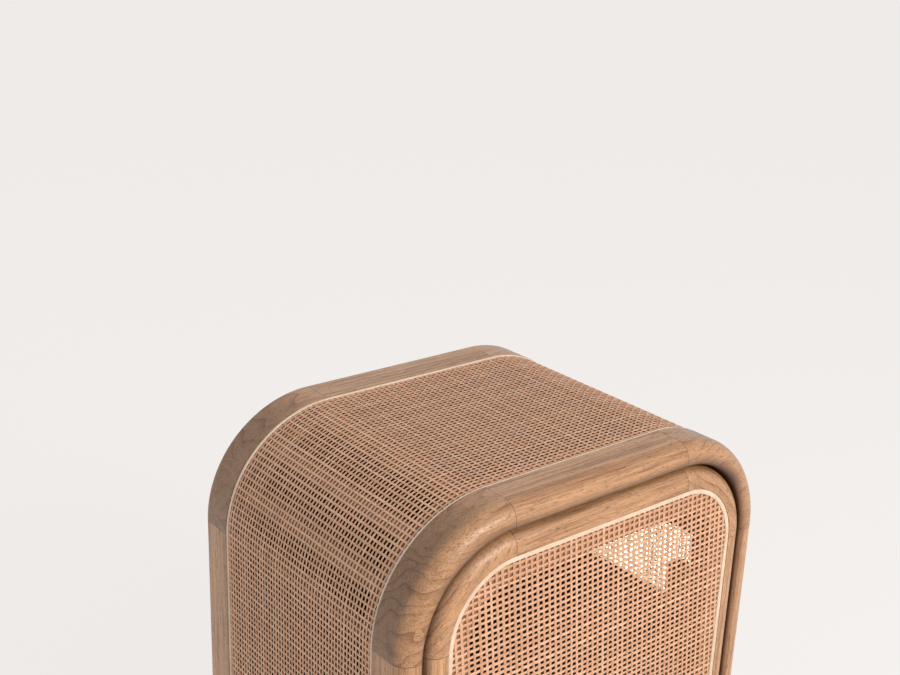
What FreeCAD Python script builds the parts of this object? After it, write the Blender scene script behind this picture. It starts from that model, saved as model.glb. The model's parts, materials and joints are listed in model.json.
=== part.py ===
import FreeCAD, Part
import math
import os
import Sketcher

# Storage side table: two rounded wooden frames, front and rear, joined by stretchers and slats,
# with a sheet of cane wrapped over left side, top and right side between them, and an inset
# cane door hung on two butt hinges. Front faces -Y, +Z is up, the floor is Z = 0.

doc = FreeCAD.newDocument("storage_side_table")
sheet = doc.addObject("Spreadsheet::Sheet", "Sizes")

# Driving sizes in millimetres
DRIVING_SIZES = (
    ("overall_width", 480.0),
    ("frame_height", 546.0),
    ("corner_radius", 125.0),
    ("band_width", 26.0),
    ("cane_span", 262.0),
    ("front_depth", 45.0),
    ("front_round", 18.0),
    ("front_inner_round", 7.0),
    ("rear_depth", 41.0),
    ("rear_round", 4.0),
    ("ledge_drop", 2.6),
    ("ledge_reach", 17.0),
    ("groove_width", 3.6),
    ("groove_depth", 5.4),
    ("back_thickness", 5.0),
    ("back_recess", 0.5),
    ("back_lap", 8.0),
    ("cane_thickness", 1.8),
    ("cane_clearance", 0.2),
    ("seat_clearance", 0.1),
    ("reed_clearance", 0.1),
    ("reed_crown_drop", 0.2),
    ("reed_round", 1.3),
    ("door_gap", 2.5),
    ("door_proud", 3.0),
    ("door_thickness", 28.0),
    ("door_round", 15.0),
    ("door_face_width", 21.3),
    ("door_groove_width", 5.5),
    ("door_ledge_width", 20.0),
    ("slat_width", 17.0),
    ("slat_depth", 14.0),
    ("stretcher_width", 16.0),
    ("stretcher_depth", 18.0),
    ("side_stretcher_rise", 7.0),
    ("side_stretcher_lap", 37.0),
    ("side_stretcher_lip", 9.0),
    ("side_stretcher_depth", 15.0),
    ("lining_setback", 3.4),
    ("lining_thickness", 0.8),
    ("top_panel_setback", 3.0),
    ("top_panel_thickness", 9.0),
    ("panel_clearance", 0.4),
    ("floor_thickness", 8.0),
    ("floor_slat_clearance", 16.5),
    ("shelf_drop", 262.0),
    ("shelf_thickness", 18.0),
    ("shelf_door_clearance", 3.5),
    ("bearer_height", 30.0),
    ("bearer_depth", 18.0),
    ("corner_block_width", 17.0),
    ("corner_block_depth", 34.0),
    ("corner_block_height", 55.0),
    ("hinge_height", 50.0),
    ("hinge_end_distance", 60.0),
    ("hinge_leaf_thickness", 1.0),
    ("hinge_leaf_width", 22.0),
    ("hinge_axis_depth", 2.0),
    ("hinge_axis_inset", 0.9),
    ("knuckle_radius", 3.0),
    ("knuckle_middle_height", 20.0),
    ("knuckle_clearance", 0.3),
    ("hinge_pin_radius", 1.2),
    ("hinge_pin_clearance", 0.05),
    ("latch_inset", 17.0),
    ("latch_width", 14.0),
    ("latch_height", 14.0),
    ("latch_length", 44.0),
    ("latch_setback", 6.0),
    ("latch_round", 2.5),
    ("latch_lug_length", 9.0),
    ("latch_lug_thickness", 2.4),
    ("latch_screw_radius", 1.6),
    ("plunger_radius", 4.0),
    ("plunger_clearance", 0.3),
    ("plunger_bore_depth", 32.0),
    ("plunger_spring_room", 8.0),
    ("plunger_tip_gap", 0.3),
    ("plunger_head_radius", 5.2),
    ("plunger_head_thickness", 1.8),
    ("strike_side", 14.0),
    ("strike_thickness", 1.0),
    ("strike_round", 3.0),
    ("glide_height", 4.0),
    ("glide_radius", 10.0),
    ("glide_taper", 1.2),
    ("glide_half_spread", 100.0),
)

# Two points closer than this share of the reed's clearance count as one
TOUCH_SHARE = 0.1

# Angles in degrees, measured round a corner from the top of its arc
TOP_STRETCHER_ANGLE = 7.5
UPPER_SLAT_ANGLE = 39.0
SLAT_STEP_ANGLE = 26.0
QUARTER_TURN = 90.0


class Size:
    """A length worked out from named cells: as text for an expression and as a number."""

    def __init__(self, terms):
        self.terms = terms

    def __add__(self, other):
        terms = dict(self.terms)
        for name, factor in other.terms.items():
            terms[name] = terms.get(name, 0.0) + factor
        return Size(terms)

    def __mul__(self, factor):
        return Size({name: value * factor for name, value in self.terms.items()})

    def __neg__(self):
        return self * -1.0

    def __sub__(self, other):
        return self + -other

    @property
    def text(self):
        parts = [f"{factor} * Sizes.{name}" for name, factor in self.terms.items() if factor]
        return " + ".join(parts) if parts else "0"

    @property
    def value(self):
        return sum(factor * SIZE_VALUES[name] for name, factor in self.terms.items())


SIZE_VALUES = dict(DRIVING_SIZES)
ZERO = Size({})


def fill_sheet():
    for row, (name, value) in enumerate(DRIVING_SIZES, start=1):
        sheet.set(f"A{row}", name)
        sheet.set(f"B{row}", str(value))
        sheet.setAlias(f"B{row}", name)
    doc.recompute()


def size(name):
    return Size({name: 1.0})


fill_sheet()

# Places that several pieces share
total_depth = size("rear_depth") + size("cane_span") + size("front_depth") + size("door_proud")
back = total_depth * 0.5
rear_edge = back - size("rear_depth")
front_edge = rear_edge - size("cane_span")
frame_front = front_edge - size("front_depth")
door_face = frame_front - size("door_proud")
door_back = door_face + size("door_thickness")
front_ledge_end = front_edge + size("ledge_reach")
rear_ledge_end = rear_edge - size("ledge_reach")
clear_span = rear_ledge_end - front_ledge_end

rim = size("corner_radius")
inner_rim = rim - size("band_width")
seat_rim = rim - size("ledge_drop")
groove_floor = seat_rim - size("groove_depth")
door_rim = inner_rim - size("door_gap")
door_reed_rim = door_rim - size("door_face_width")
door_seat_rim = door_reed_rim - size("door_groove_width")
door_opening_rim = door_seat_rim - size("door_ledge_width")
door_seat = door_face + size("ledge_drop")
door_groove_floor = door_seat + size("groove_depth")
carrier_rim = seat_rim - size("seat_clearance")
# The side stretchers stand back from the cane where its arc begins
bar_face = carrier_rim - size("seat_clearance") * 2.0
back_panel_front = back - size("back_recess") - size("back_thickness")

half_across = size("overall_width") * 0.5 - rim
half_up = size("frame_height") * 0.5 - rim
middle = size("glide_height") + size("frame_height") * 0.5
upper_centre = middle + half_up
lower_centre = middle - half_up
frame_top = size("glide_height") + size("frame_height")
lining_outer = seat_rim - size("lining_setback")
lining_inner = lining_outer - size("lining_thickness")
shelf_top = frame_top - size("shelf_drop")
shelf_bottom = shelf_top - size("shelf_thickness")
TOUCH = size("reed_clearance").value * TOUCH_SHARE


def new_body(label):
    body = doc.addObject("PartDesign::Body", label)
    body.Label = label
    return body


def place(piece, across=ZERO, along=ZERO, up=ZERO, turn=0.0):
    """Set a piece's Placement: a turn about Y in degrees, then a move bound to the sheet."""
    piece.Placement = FreeCAD.Placement(
        FreeCAD.Vector(across.value, along.value, up.value),
        FreeCAD.Rotation(FreeCAD.Vector(0, 1, 0), turn),
    )
    for axis, length in (("x", across), ("y", along), ("z", up)):
        piece.setExpression(f"Placement.Base.{axis}", length.text)


def new_sketch(body, role, name, offset=None):
    """A sketch on one of the body's own origin planes, moved along the plane's normal."""
    sketch = body.newObject("Sketcher::SketchObject", f"{body.Name}_{name}")
    support = [f for f in body.Origin.OriginFeatures if f.Role == role][0]
    sketch.AttachmentSupport = [(support, "")]
    sketch.MapMode = "FlatFace"
    if offset is not None:
        sketch.setExpression("AttachmentOffset.Base.z", offset.text)
    return sketch


def bind(sketch, constraint, length):
    index = sketch.addConstraint(constraint)
    sketch.setExpression(f"Constraints[{index}]", length.text)


def draw(sketch, corners):
    """Draw a closed outline through corners (across, up), or (across, up, centre, turn) where an
    arc about centre leads to the next corner: turn is 1 anticlockwise and -1 clockwise."""
    first = sketch.GeometryCount
    ends = []
    count = len(corners)
    for number, corner in enumerate(corners):
        following = corners[(number + 1) % count]
        start = FreeCAD.Vector(corner[0].value, corner[1].value, 0)
        end = FreeCAD.Vector(following[0].value, following[1].value, 0)
        if len(corner) == 2:
            sketch.addGeometry(Part.LineSegment(start, end))
            ends.append((1, 2))
            continue
        centre = FreeCAD.Vector(corner[2][0].value, corner[2][1].value, 0)
        circle = Part.Circle(centre, FreeCAD.Vector(0, 0, 1), (start - centre).Length)
        angles = [math.atan2(point.y - centre.y, point.x - centre.x) for point in (start, end)]
        if corner[3] < 0:
            angles.reverse()
        sketch.addGeometry(Part.ArcOfCircle(circle, angles[0], angles[1]))
        ends.append((1, 2) if corner[3] > 0 else (2, 1))
    for number in range(count):
        this = first + number
        following = (number + 1) % count
        sketch.addConstraint(Sketcher.Constraint(
            "Coincident", this, ends[number][1], first + following, ends[following][0]))
    for number, corner in enumerate(corners):
        this = first + number
        place_of_start = ends[number][0]
        bind(sketch, Sketcher.Constraint(
            "DistanceX", -1, 1, this, place_of_start, corner[0].value), corner[0])
        bind(sketch, Sketcher.Constraint(
            "DistanceY", -1, 1, this, place_of_start, corner[1].value), corner[1])
        if len(corner) == 4:
            radius = corner[2][2]
            bind(sketch, Sketcher.Constraint("Radius", this, radius.value), radius)


def draw_circle(sketch, across, up, radius):
    centre = FreeCAD.Vector(across.value, up.value, 0)
    circle = sketch.addGeometry(Part.Circle(centre, FreeCAD.Vector(0, 0, 1), radius.value))
    bind(sketch, Sketcher.Constraint("DistanceX", -1, 1, circle, 3, across.value), across)
    bind(sketch, Sketcher.Constraint("DistanceY", -1, 1, circle, 3, up.value), up)
    bind(sketch, Sketcher.Constraint("Radius", circle, radius.value), radius)


def rectangle(left, right, low, high):
    return [(left, low), (right, low), (right, high), (left, high)]


def pad(body, sketch, length, name="pad"):
    feature = body.newObject("PartDesign::Pad", f"{body.Name}_{name}")
    feature.Profile = sketch
    feature.setExpression("Length", length.text)
    sketch.Visibility = False
    return feature


def pocket(body, sketch, length, name):
    """Cut along the sketch's normal, the way a pad would grow."""
    feature = body.newObject("PartDesign::Pocket", f"{body.Name}_{name}")
    feature.Profile = sketch
    feature.Reversed = True
    feature.setExpression("Length", length.text)
    sketch.Visibility = False
    return feature


def fillet(body, base, edges, radius):
    feature = body.newObject("PartDesign::Fillet", f"{body.Name}_round")
    feature.Base = (base, edges)
    feature.setExpression("Radius", radius.text)
    return feature


# Outlines of the frames, drawn across depth (Y) and distance from a corner's centre

def front_frame_outline():
    nose = (frame_front + size("front_round"), rim - size("front_round"), size("front_round"))
    lip = (frame_front + size("front_inner_round"), inner_rim + size("front_inner_round"),
           size("front_inner_round"))
    return [
        (front_edge, rim),
        (nose[0], rim, nose, 1),
        (frame_front, nose[1]),
        (frame_front, lip[1], lip, 1),
        (lip[0], inner_rim),
        (front_ledge_end, inner_rim),
        (front_ledge_end, seat_rim),
        (front_edge + size("groove_width"), seat_rim),
        (front_edge + size("groove_width"), groove_floor),
        (front_edge, groove_floor),
    ]


def rear_frame_outline():
    edge = (back - size("rear_round"), rim - size("rear_round"), size("rear_round"))
    return [
        (edge[0], rim),
        (rear_edge, rim),
        (rear_edge, groove_floor),
        (rear_edge - size("groove_width"), groove_floor),
        (rear_edge - size("groove_width"), seat_rim),
        (rear_ledge_end, seat_rim),
        (rear_ledge_end, inner_rim),
        (back_panel_front, inner_rim),
        (back_panel_front, inner_rim + size("back_lap")),
        (back, inner_rim + size("back_lap")),
        (back, edge[1], edge, 1),
    ]


def door_frame_outline():
    nose = (door_face + size("door_round"), door_rim - size("door_round"), size("door_round"))
    return [
        (door_back, door_rim),
        (nose[0], door_rim, nose, 1),
        (door_face, nose[1]),
        (door_face, door_reed_rim),
        (door_groove_floor, door_reed_rim),
        (door_groove_floor, door_seat_rim),
        (door_seat, door_seat_rim),
        (door_seat, door_opening_rim),
        (door_back, door_opening_rim),
    ]


def straight_piece(label, outline, length, across, up, turn):
    """A rail or stile: the frame's outline run straight, from one seam to the next."""
    body = new_body(label)
    sketch = new_sketch(body, "YZ_Plane", "outline")
    draw(sketch, outline)
    pad(body, sketch, length)
    place(body, across, ZERO, up, turn)


def corner_piece(label, outline, across, up, turn):
    """A corner block: the frame's outline turned a quarter round the corner's centre."""
    body = new_body(label)
    sketch = new_sketch(body, "YZ_Plane", "outline")
    draw(sketch, outline)
    feature = body.newObject("PartDesign::Revolution", f"{body.Name}_turn")
    feature.Profile = sketch
    feature.ReferenceAxis = (sketch, ["H_Axis"])
    feature.Angle = QUARTER_TURN
    sketch.Visibility = False
    place(body, across, ZERO, up, turn)


def make_frame(name, outline):
    """Four straight pieces and four corner blocks, butted at the ends of the arcs."""
    across_length = half_across * 2.0
    up_length = half_up * 2.0
    straight_piece(f"{name}_top_rail", outline, across_length, -half_across, upper_centre, 0.0)
    straight_piece(f"{name}_bottom_rail", outline, across_length, half_across, lower_centre, 180.0)
    straight_piece(f"{name}_right_stile", outline, up_length, half_across, upper_centre, 90.0)
    straight_piece(f"{name}_left_stile", outline, up_length, -half_across, lower_centre, -90.0)
    corner_piece(f"{name}_corner_top_right", outline, half_across, upper_centre, 0.0)
    corner_piece(f"{name}_corner_bottom_right", outline, half_across, lower_centre, 90.0)
    corner_piece(f"{name}_corner_bottom_left", outline, -half_across, lower_centre, 180.0)
    corner_piece(f"{name}_corner_top_left", outline, -half_across, upper_centre, -90.0)


# Bands that follow the frame's outline over left side, top and right side

def wrap_outline(outer, inner):
    """A band between two distances from the corners' centres, open along the bottom."""
    right_low = (half_across, -half_up)
    right_high = (half_across, half_up)
    left_high = (-half_across, half_up)
    left_low = (-half_across, -half_up)
    return [
        (half_across, -half_up - outer, right_low + (outer,), 1),
        (half_across + outer, -half_up),
        (half_across + outer, half_up, right_high + (outer,), 1),
        (half_across, half_up + outer),
        (-half_across, half_up + outer, left_high + (outer,), 1),
        (-half_across - outer, half_up),
        (-half_across - outer, -half_up, left_low + (outer,), 1),
        (-half_across, -half_up - outer),
        (-half_across, -half_up - inner, left_low + (inner,), -1),
        (-half_across - inner, -half_up),
        (-half_across - inner, half_up, left_high + (inner,), -1),
        (-half_across, half_up + inner),
        (half_across, half_up + inner, right_high + (inner,), -1),
        (half_across + inner, half_up),
        (half_across + inner, -half_up, right_low + (inner,), -1),
        (half_across, -half_up - inner),
    ]


def round_outline(radius):
    """A rounded rectangle about the frame's middle, at one distance from the corners' centres."""
    return [
        (half_across, -half_up - radius, (half_across, -half_up, radius), 1),
        (half_across + radius, -half_up),
        (half_across + radius, half_up, (half_across, half_up, radius), 1),
        (half_across, half_up + radius),
        (-half_across, half_up + radius, (-half_across, half_up, radius), 1),
        (-half_across - radius, half_up),
        (-half_across - radius, -half_up, (-half_across, -half_up, radius), 1),
        (-half_across, -half_up - radius),
    ]


def distance_from_centres(point):
    return math.hypot(max(abs(point.x) - half_across.value, 0.0),
                      max(abs(point.z) - half_up.value, 0.0))


def edges_at(shape, chosen):
    """Names of a shape's edges whose middle point is chosen and that keep one depth."""
    names = []
    for number, edge in enumerate(shape.Edges, start=1):
        middle_point = edge.valueAt((edge.FirstParameter + edge.LastParameter) * 0.5)
        depths = [vertex.Point.y for vertex in edge.Vertexes]
        if chosen(middle_point) and math.isclose(depths[0], depths[-1], abs_tol=TOUCH):
            names.append(f"Edge{number}")
    return names


def wrap_band(label, outer, inner, rear_side, length):
    """A band pad that grows forward from the depth of its rear side."""
    body = new_body(label)
    sketch = new_sketch(body, "XZ_Plane", "outline", -rear_side)
    draw(sketch, wrap_outline(outer, inner))
    feature = pad(body, sketch, length)
    place(body, up=middle)
    return body, feature


def make_cane_wrap():
    """The sheet of cane, lying on the ledges of both frames."""
    inner = seat_rim + size("cane_clearance")
    outer = inner + size("cane_thickness")
    rear_side = rear_edge - size("groove_width") - size("reed_clearance")
    front_side = front_edge + size("groove_width") + size("reed_clearance")
    wrap_band("cane_wrap", outer, inner, rear_side, rear_side - front_side)


def make_wrap_reed(label, rear_side):
    """The split reed that locks the cane's edge into the groove of a frame."""
    outer = rim - size("reed_crown_drop")
    inner = groove_floor + size("reed_clearance")
    body, feature = wrap_band(label, outer, inner, rear_side,
                              size("groove_width") - size("reed_clearance") * 2.0)
    doc.recompute()
    crown = edges_at(feature.Shape, lambda point: math.isclose(
        distance_from_centres(point), outer.value, abs_tol=TOUCH))
    fillet(body, feature, crown, size("reed_round"))


def make_door_cane():
    body = new_body("door_cane")
    rear_side = door_seat - size("cane_clearance")
    sketch = new_sketch(body, "XZ_Plane", "outline", -rear_side)
    draw(sketch, round_outline(door_seat_rim - size("reed_clearance")))
    pad(body, sketch, size("cane_thickness"))
    place(body, up=middle)


def make_door_reed():
    body = new_body("door_reed")
    rear_side = door_groove_floor - size("reed_clearance")
    front_side = door_face + size("reed_crown_drop")
    sketch = new_sketch(body, "XZ_Plane", "outline", -rear_side)
    draw(sketch, round_outline(door_reed_rim - size("reed_clearance")))
    draw(sketch, round_outline(door_seat_rim + size("reed_clearance")))
    feature = pad(body, sketch, rear_side - front_side)
    place(body, up=middle)
    doc.recompute()
    crown = edges_at(feature.Shape, lambda point: math.isclose(
        point.y, front_side.value, abs_tol=TOUCH))
    fillet(body, feature, crown, size("reed_round"))


# Pieces that run from the front frame's ledge to the rear frame's ledge

def curved_bar(label, width, depth, across, up, turn, copies=1):
    """A bar with a top that follows the cane's curve, and copies of it further round the corner."""
    body = new_body(label)
    sketch = new_sketch(body, "XZ_Plane", "outline", -rear_ledge_end)
    half = width * 0.5
    foot = carrier_rim - depth
    shoulder = math.sqrt(carrier_rim.value ** 2 - half.value ** 2)
    corners = [FreeCAD.Vector(-half.value, shoulder, 0), FreeCAD.Vector(-half.value, foot.value, 0),
               FreeCAD.Vector(half.value, foot.value, 0), FreeCAD.Vector(half.value, shoulder, 0)]
    circle = Part.Circle(FreeCAD.Vector(0, 0, 0), FreeCAD.Vector(0, 0, 1), carrier_rim.value)
    lean = math.asin(half.value / carrier_rim.value)
    upright = math.pi * 0.5
    for start, end in zip(corners, corners[1:]):
        sketch.addGeometry(Part.LineSegment(start, end))
    arc = sketch.addGeometry(Part.ArcOfCircle(circle, upright - lean, upright + lean))
    for line in (0, 1):
        sketch.addConstraint(Sketcher.Constraint("Coincident", line, 2, line + 1, 1))
    sketch.addConstraint(Sketcher.Constraint("Coincident", 2, 2, arc, 1))
    sketch.addConstraint(Sketcher.Constraint("Coincident", arc, 2, 0, 1))
    sketch.addConstraint(Sketcher.Constraint("Coincident", arc, 3, -1, 1))
    bind(sketch, Sketcher.Constraint("Radius", arc, carrier_rim.value), carrier_rim)
    for line, side in ((0, -half), (1, -half), (2, half)):
        bind(sketch, Sketcher.Constraint("DistanceX", -1, 1, line, 1, side.value), side)
    bind(sketch, Sketcher.Constraint("DistanceX", -1, 1, 2, 2, half.value), half)
    for line in (1, 2):
        bind(sketch, Sketcher.Constraint("DistanceY", -1, 1, line, 1, foot.value), foot)
    feature = pad(body, sketch, clear_span)
    if copies > 1:
        pattern = body.newObject("PartDesign::PolarPattern", f"{body.Name}_pattern")
        pattern.Originals = [feature]
        axis = [f for f in body.Origin.OriginFeatures if f.Role == "Y_Axis"][0]
        pattern.Axis = (axis, [""])
        pattern.Mode = "Spacing"
        pattern.Offset = SLAT_STEP_ANGLE
        pattern.Occurrences = copies
        body.Tip = pattern
    place(body, across, ZERO, up, turn)


def make_stretchers():
    lower_slat_angle = UPPER_SLAT_ANGLE + SLAT_STEP_ANGLE
    for side, sign in (("right", 1.0), ("left", -1.0)):
        across = half_across * sign
        width = size("stretcher_width")
        depth = size("stretcher_depth")
        low_turn = 2.0 * QUARTER_TURN - sign * TOP_STRETCHER_ANGLE
        curved_bar(f"top_stretcher_{side}", width, depth, across, upper_centre,
                   sign * TOP_STRETCHER_ANGLE)
        curved_bar(f"bottom_stretcher_{side}", width, depth, across, lower_centre, low_turn)
        # The copies of a slat step clockwise seen from the front, so a corner starts at one end
        top_start = UPPER_SLAT_ANGLE if sign > 0 else -lower_slat_angle
        bottom_start = 2.0 * QUARTER_TURN - lower_slat_angle if sign > 0 else (
            2.0 * QUARTER_TURN + UPPER_SLAT_ANGLE)
        for level, up, start in (("top", upper_centre, top_start),
                                 ("bottom", lower_centre, bottom_start)):
            curved_bar(f"corner_slats_{level}_{side}", size("slat_width"), size("slat_depth"),
                       across, up, start, copies=2)


def long_bar(label, corners, across, up, turn=0.0):
    """A straight bar between the two ledges, from an outline seen from the front."""
    body = new_body(label)
    sketch = new_sketch(body, "XZ_Plane", "outline", -rear_ledge_end)
    draw(sketch, corners)
    pad(body, sketch, clear_span)
    place(body, across, ZERO, up, turn)


def make_side_stretchers():
    """Bars at the ends of the sides' flats, rebated for the lining behind the cane."""
    rise = size("side_stretcher_rise")
    lip = rise - size("side_stretcher_lip")
    foot = lip - size("side_stretcher_lap")
    inner = carrier_rim - size("side_stretcher_depth")
    for side, sign in (("right", 1.0), ("left", -1.0)):
        for level, up, way in (("upper", upper_centre, 1.0), ("lower", lower_centre, -1.0)):
            corners = [
                (inner * sign, foot * way),
                (lining_inner * sign, foot * way),
                (lining_inner * sign, lip * way),
                (bar_face * sign, lip * way),
                (bar_face * sign, rise * way),
                (inner * sign, rise * way),
            ]
            long_bar(f"{level}_side_stretcher_{side}", corners, half_across * sign, up)


def make_side_linings():
    high = half_up + size("side_stretcher_rise") - size("side_stretcher_lip") \
        - size("panel_clearance")
    for side, sign in (("right", 1.0), ("left", -1.0)):
        corners = rectangle(lining_inner * sign, lining_outer * sign, -high, high)
        long_bar(f"side_lining_{side}", corners, half_across * sign, middle)


def make_shelf_bearers():
    inner = lining_inner - size("bearer_depth")
    for side, sign in (("right", 1.0), ("left", -1.0)):
        corners = rectangle(inner * sign, lining_inner * sign, -size("bearer_height"), ZERO)
        long_bar(f"shelf_bearer_{side}", corners, half_across * sign, shelf_bottom)


def make_corner_blocks():
    """Glue blocks on the shelf, in the angles between the sides and the frames, as one group."""
    blocks = []
    width = size("corner_block_width")
    depth = size("corner_block_depth")
    side_face = half_across + lining_inner
    for level, along in (("front", front_ledge_end), ("rear", rear_ledge_end - depth)):
        for side, across in (("right", side_face - width), ("left", -side_face)):
            block = doc.addObject("Part::Box", f"corner_block_{level}_{side}")
            block.setExpression("Length", width.text)
            block.setExpression("Width", depth.text)
            block.setExpression("Height", size("corner_block_height").text)
            place(block, across, along, shelf_top)
            blocks.append(block)
    group = doc.addObject("Part::Compound", "shelf_corner_blocks")
    group.Label = "shelf_corner_blocks"
    group.Links = blocks


def make_top_panel():
    high = seat_rim - size("top_panel_setback")
    half = half_across - size("panel_clearance")
    corners = rectangle(-half, half, high - size("top_panel_thickness"), high)
    long_bar("top_panel", corners, ZERO, upper_centre)


def notched_board(label, wide, narrow, thickness, up):
    """A board that fills the space between the ledges and passes through both frames."""
    body = new_body(label)
    sketch = new_sketch(body, "XY_Plane", "outline")
    front = door_back + size("shelf_door_clearance")
    ledge_front = front_ledge_end + size("panel_clearance")
    ledge_rear = rear_ledge_end - size("panel_clearance")
    draw(sketch, [
        (-narrow, front), (narrow, front), (narrow, ledge_front), (wide, ledge_front),
        (wide, ledge_rear), (narrow, ledge_rear), (narrow, back_panel_front),
        (-narrow, back_panel_front), (-narrow, ledge_rear), (-wide, ledge_rear),
        (-wide, ledge_front), (-narrow, ledge_front),
    ])
    pad(body, sketch, thickness)
    place(body, up=up)


def make_boards():
    clearance = size("panel_clearance")
    shelf_wide = half_across + lining_inner - clearance
    shelf_narrow = half_across + inner_rim - clearance
    notched_board("shelf", shelf_wide, shelf_narrow, size("shelf_thickness"), shelf_bottom)
    # The floor stops short of the nearest edge of the lowest corner slats
    lean = math.radians(UPPER_SLAT_ANGLE)
    slat_near_edge = (carrier_rim - size("slat_depth")) * math.sin(lean) \
        - size("slat_width") * (0.5 * math.cos(lean))
    floor_wide = half_across + slat_near_edge - size("floor_slat_clearance")
    floor_up = size("glide_height") + size("band_width")
    notched_board("bottom_panel", floor_wide, half_across, size("floor_thickness"), floor_up)


def make_back_panel():
    body = new_body("back_panel")
    sketch = new_sketch(body, "XZ_Plane", "outline", -(back_panel_front + size("back_thickness")))
    draw(sketch, round_outline(inner_rim + size("back_lap") - size("panel_clearance")))
    pad(body, sketch, size("back_thickness"))
    place(body, up=middle)


# Butt hinges in the left gap: two leaves round one pin, with the pin in the valley between frame
# and door, so that the door's rounded edge swings clear of the frame

hinge_across = -(half_across + inner_rim - size("door_gap") * 0.5 - size("hinge_axis_inset"))
hinge_along = frame_front + size("hinge_axis_depth")
frame_side = -(half_across + inner_rim) - hinge_across
door_side = -(half_across + door_rim) - hinge_across


def hinge_leaf(label, near_side, far_side, cuts, up):
    """A leaf with a full barrel, cut back where the other leaf's knuckles turn."""
    body = new_body(label)
    plate = new_sketch(body, "XY_Plane", "plate")
    draw(plate, rectangle(near_side, far_side, ZERO, size("hinge_leaf_width")))
    pad(body, plate, size("hinge_height"), "plate_pad")
    barrel = new_sketch(body, "XY_Plane", "barrel")
    draw_circle(barrel, ZERO, ZERO, size("knuckle_radius"))
    pad(body, barrel, size("hinge_height"), "barrel_pad")
    for number, (low, high) in enumerate(cuts):
        cut = new_sketch(body, "XY_Plane", f"cut_{number}", low)
        draw_circle(cut, ZERO, ZERO, size("knuckle_radius") + size("knuckle_clearance"))
        pocket(body, cut, high - low, f"cut_{number}_pocket")
    bore = new_sketch(body, "XY_Plane", "bore")
    draw_circle(bore, ZERO, ZERO, size("hinge_pin_radius") + size("hinge_pin_clearance"))
    pocket(body, bore, size("hinge_height"), "bore_pocket")
    place(body, hinge_across, hinge_along, up)


def make_hinges():
    height = size("hinge_height")
    low = (height - size("knuckle_middle_height")) * 0.5
    high = height - low
    gap = size("knuckle_clearance")
    leaf = size("hinge_leaf_thickness")
    for level, centre in (("upper", upper_centre - size("hinge_end_distance")),
                          ("lower", lower_centre + size("hinge_end_distance"))):
        up = centre - height * 0.5
        hinge_leaf(f"{level}_hinge_case_leaf", frame_side, frame_side + leaf,
                   [(low, high)], up)
        hinge_leaf(f"{level}_hinge_door_leaf", door_side - leaf, door_side,
                   [(ZERO, low + gap), (high - gap, height)], up)
        pin = doc.addObject("Part::Cylinder", f"{level}_hinge_pin")
        pin.Label = f"{level}_hinge_pin"
        pin.setExpression("Radius", size("hinge_pin_radius").text)
        pin.setExpression("Height", height.text)
        place(pin, hinge_across, hinge_along, up)


# Push latch on the shelf, behind the door's free stile

latch_across = half_across + door_rim - size("latch_inset")
plunger_up = shelf_top + size("latch_height") * 0.5
strike_face = door_back + size("strike_thickness")
plunger_front = strike_face + size("plunger_tip_gap")
latch_front = door_back + size("latch_setback")
latch_rear = latch_front + size("latch_length")


def make_latch_housing():
    """A moulded case with a round-edged top, a lug behind and one beside it, and the plunger's bore."""
    body = new_body("latch_housing")
    half = size("latch_width") * 0.5
    high = size("latch_height")
    bend = size("latch_round")
    case = new_sketch(body, "XZ_Plane", "case", -latch_rear)
    draw(case, [
        (-half, ZERO), (half, ZERO),
        (half, high - bend, (half - bend, high - bend, bend), 1), (half - bend, high),
        (-half + bend, high, (-half + bend, high - bend, bend), 1), (-half, high - bend),
    ])
    pad(body, case, size("latch_length"))
    lug = size("latch_lug_length")
    middle_along = (latch_front + latch_rear) * 0.5
    lugs = new_sketch(body, "XY_Plane", "lugs")
    draw(lugs, [
        (-half, middle_along - lug * 0.5), (half + lug, middle_along - lug * 0.5),
        (half + lug, middle_along + lug * 0.5), (half, middle_along + lug * 0.5),
        (half, latch_rear + lug), (-half, latch_rear + lug),
    ])
    pad(body, lugs, size("latch_lug_thickness"), "lugs_pad")
    screws = new_sketch(body, "XY_Plane", "screws")
    draw_circle(screws, half + lug * 0.5, middle_along, size("latch_screw_radius"))
    draw_circle(screws, ZERO, latch_rear + lug * 0.5, size("latch_screw_radius"))
    pocket(body, screws, size("latch_lug_thickness"), "screws_pocket")
    bore = new_sketch(body, "XZ_Plane", "bore", -(latch_front + size("plunger_bore_depth")))
    draw_circle(bore, ZERO, high * 0.5, size("plunger_radius") + size("plunger_clearance"))
    pocket(body, bore, size("plunger_bore_depth"), "bore_pocket")
    place(body, across=latch_across, up=shelf_top)


def make_latch_plunger():
    """The sprung stem, with the flat head that meets the strike plate."""
    body = new_body("latch_plunger")
    stem_rear = latch_front + size("plunger_bore_depth") - size("plunger_spring_room")
    stem = new_sketch(body, "XZ_Plane", "stem", -stem_rear)
    draw_circle(stem, ZERO, ZERO, size("plunger_radius"))
    pad(body, stem, stem_rear - plunger_front)
    head_rear = plunger_front + size("plunger_head_thickness")
    head = new_sketch(body, "XZ_Plane", "head", -head_rear)
    draw_circle(head, ZERO, ZERO, size("plunger_head_radius"))
    pad(body, head, size("plunger_head_thickness"), "head_pad")
    place(body, across=latch_across, up=plunger_up)


def make_latch_strike():
    """The steel plate on the door's rear face, with rounded corners."""
    body = new_body("latch_strike")
    edge = size("strike_side") * 0.5
    bend = size("strike_round")
    flat = edge - bend
    plate = new_sketch(body, "XZ_Plane", "plate", -strike_face)
    draw(plate, [
        (flat, -edge, (flat, -flat, bend), 1), (edge, -flat),
        (edge, flat, (flat, flat, bend), 1), (flat, edge),
        (-flat, edge, (-flat, flat, bend), 1), (-edge, flat),
        (-edge, -flat, (-flat, -flat, bend), 1), (-flat, -edge),
    ])
    pad(body, plate, size("strike_thickness"))
    place(body, across=latch_across, up=plunger_up)


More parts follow.
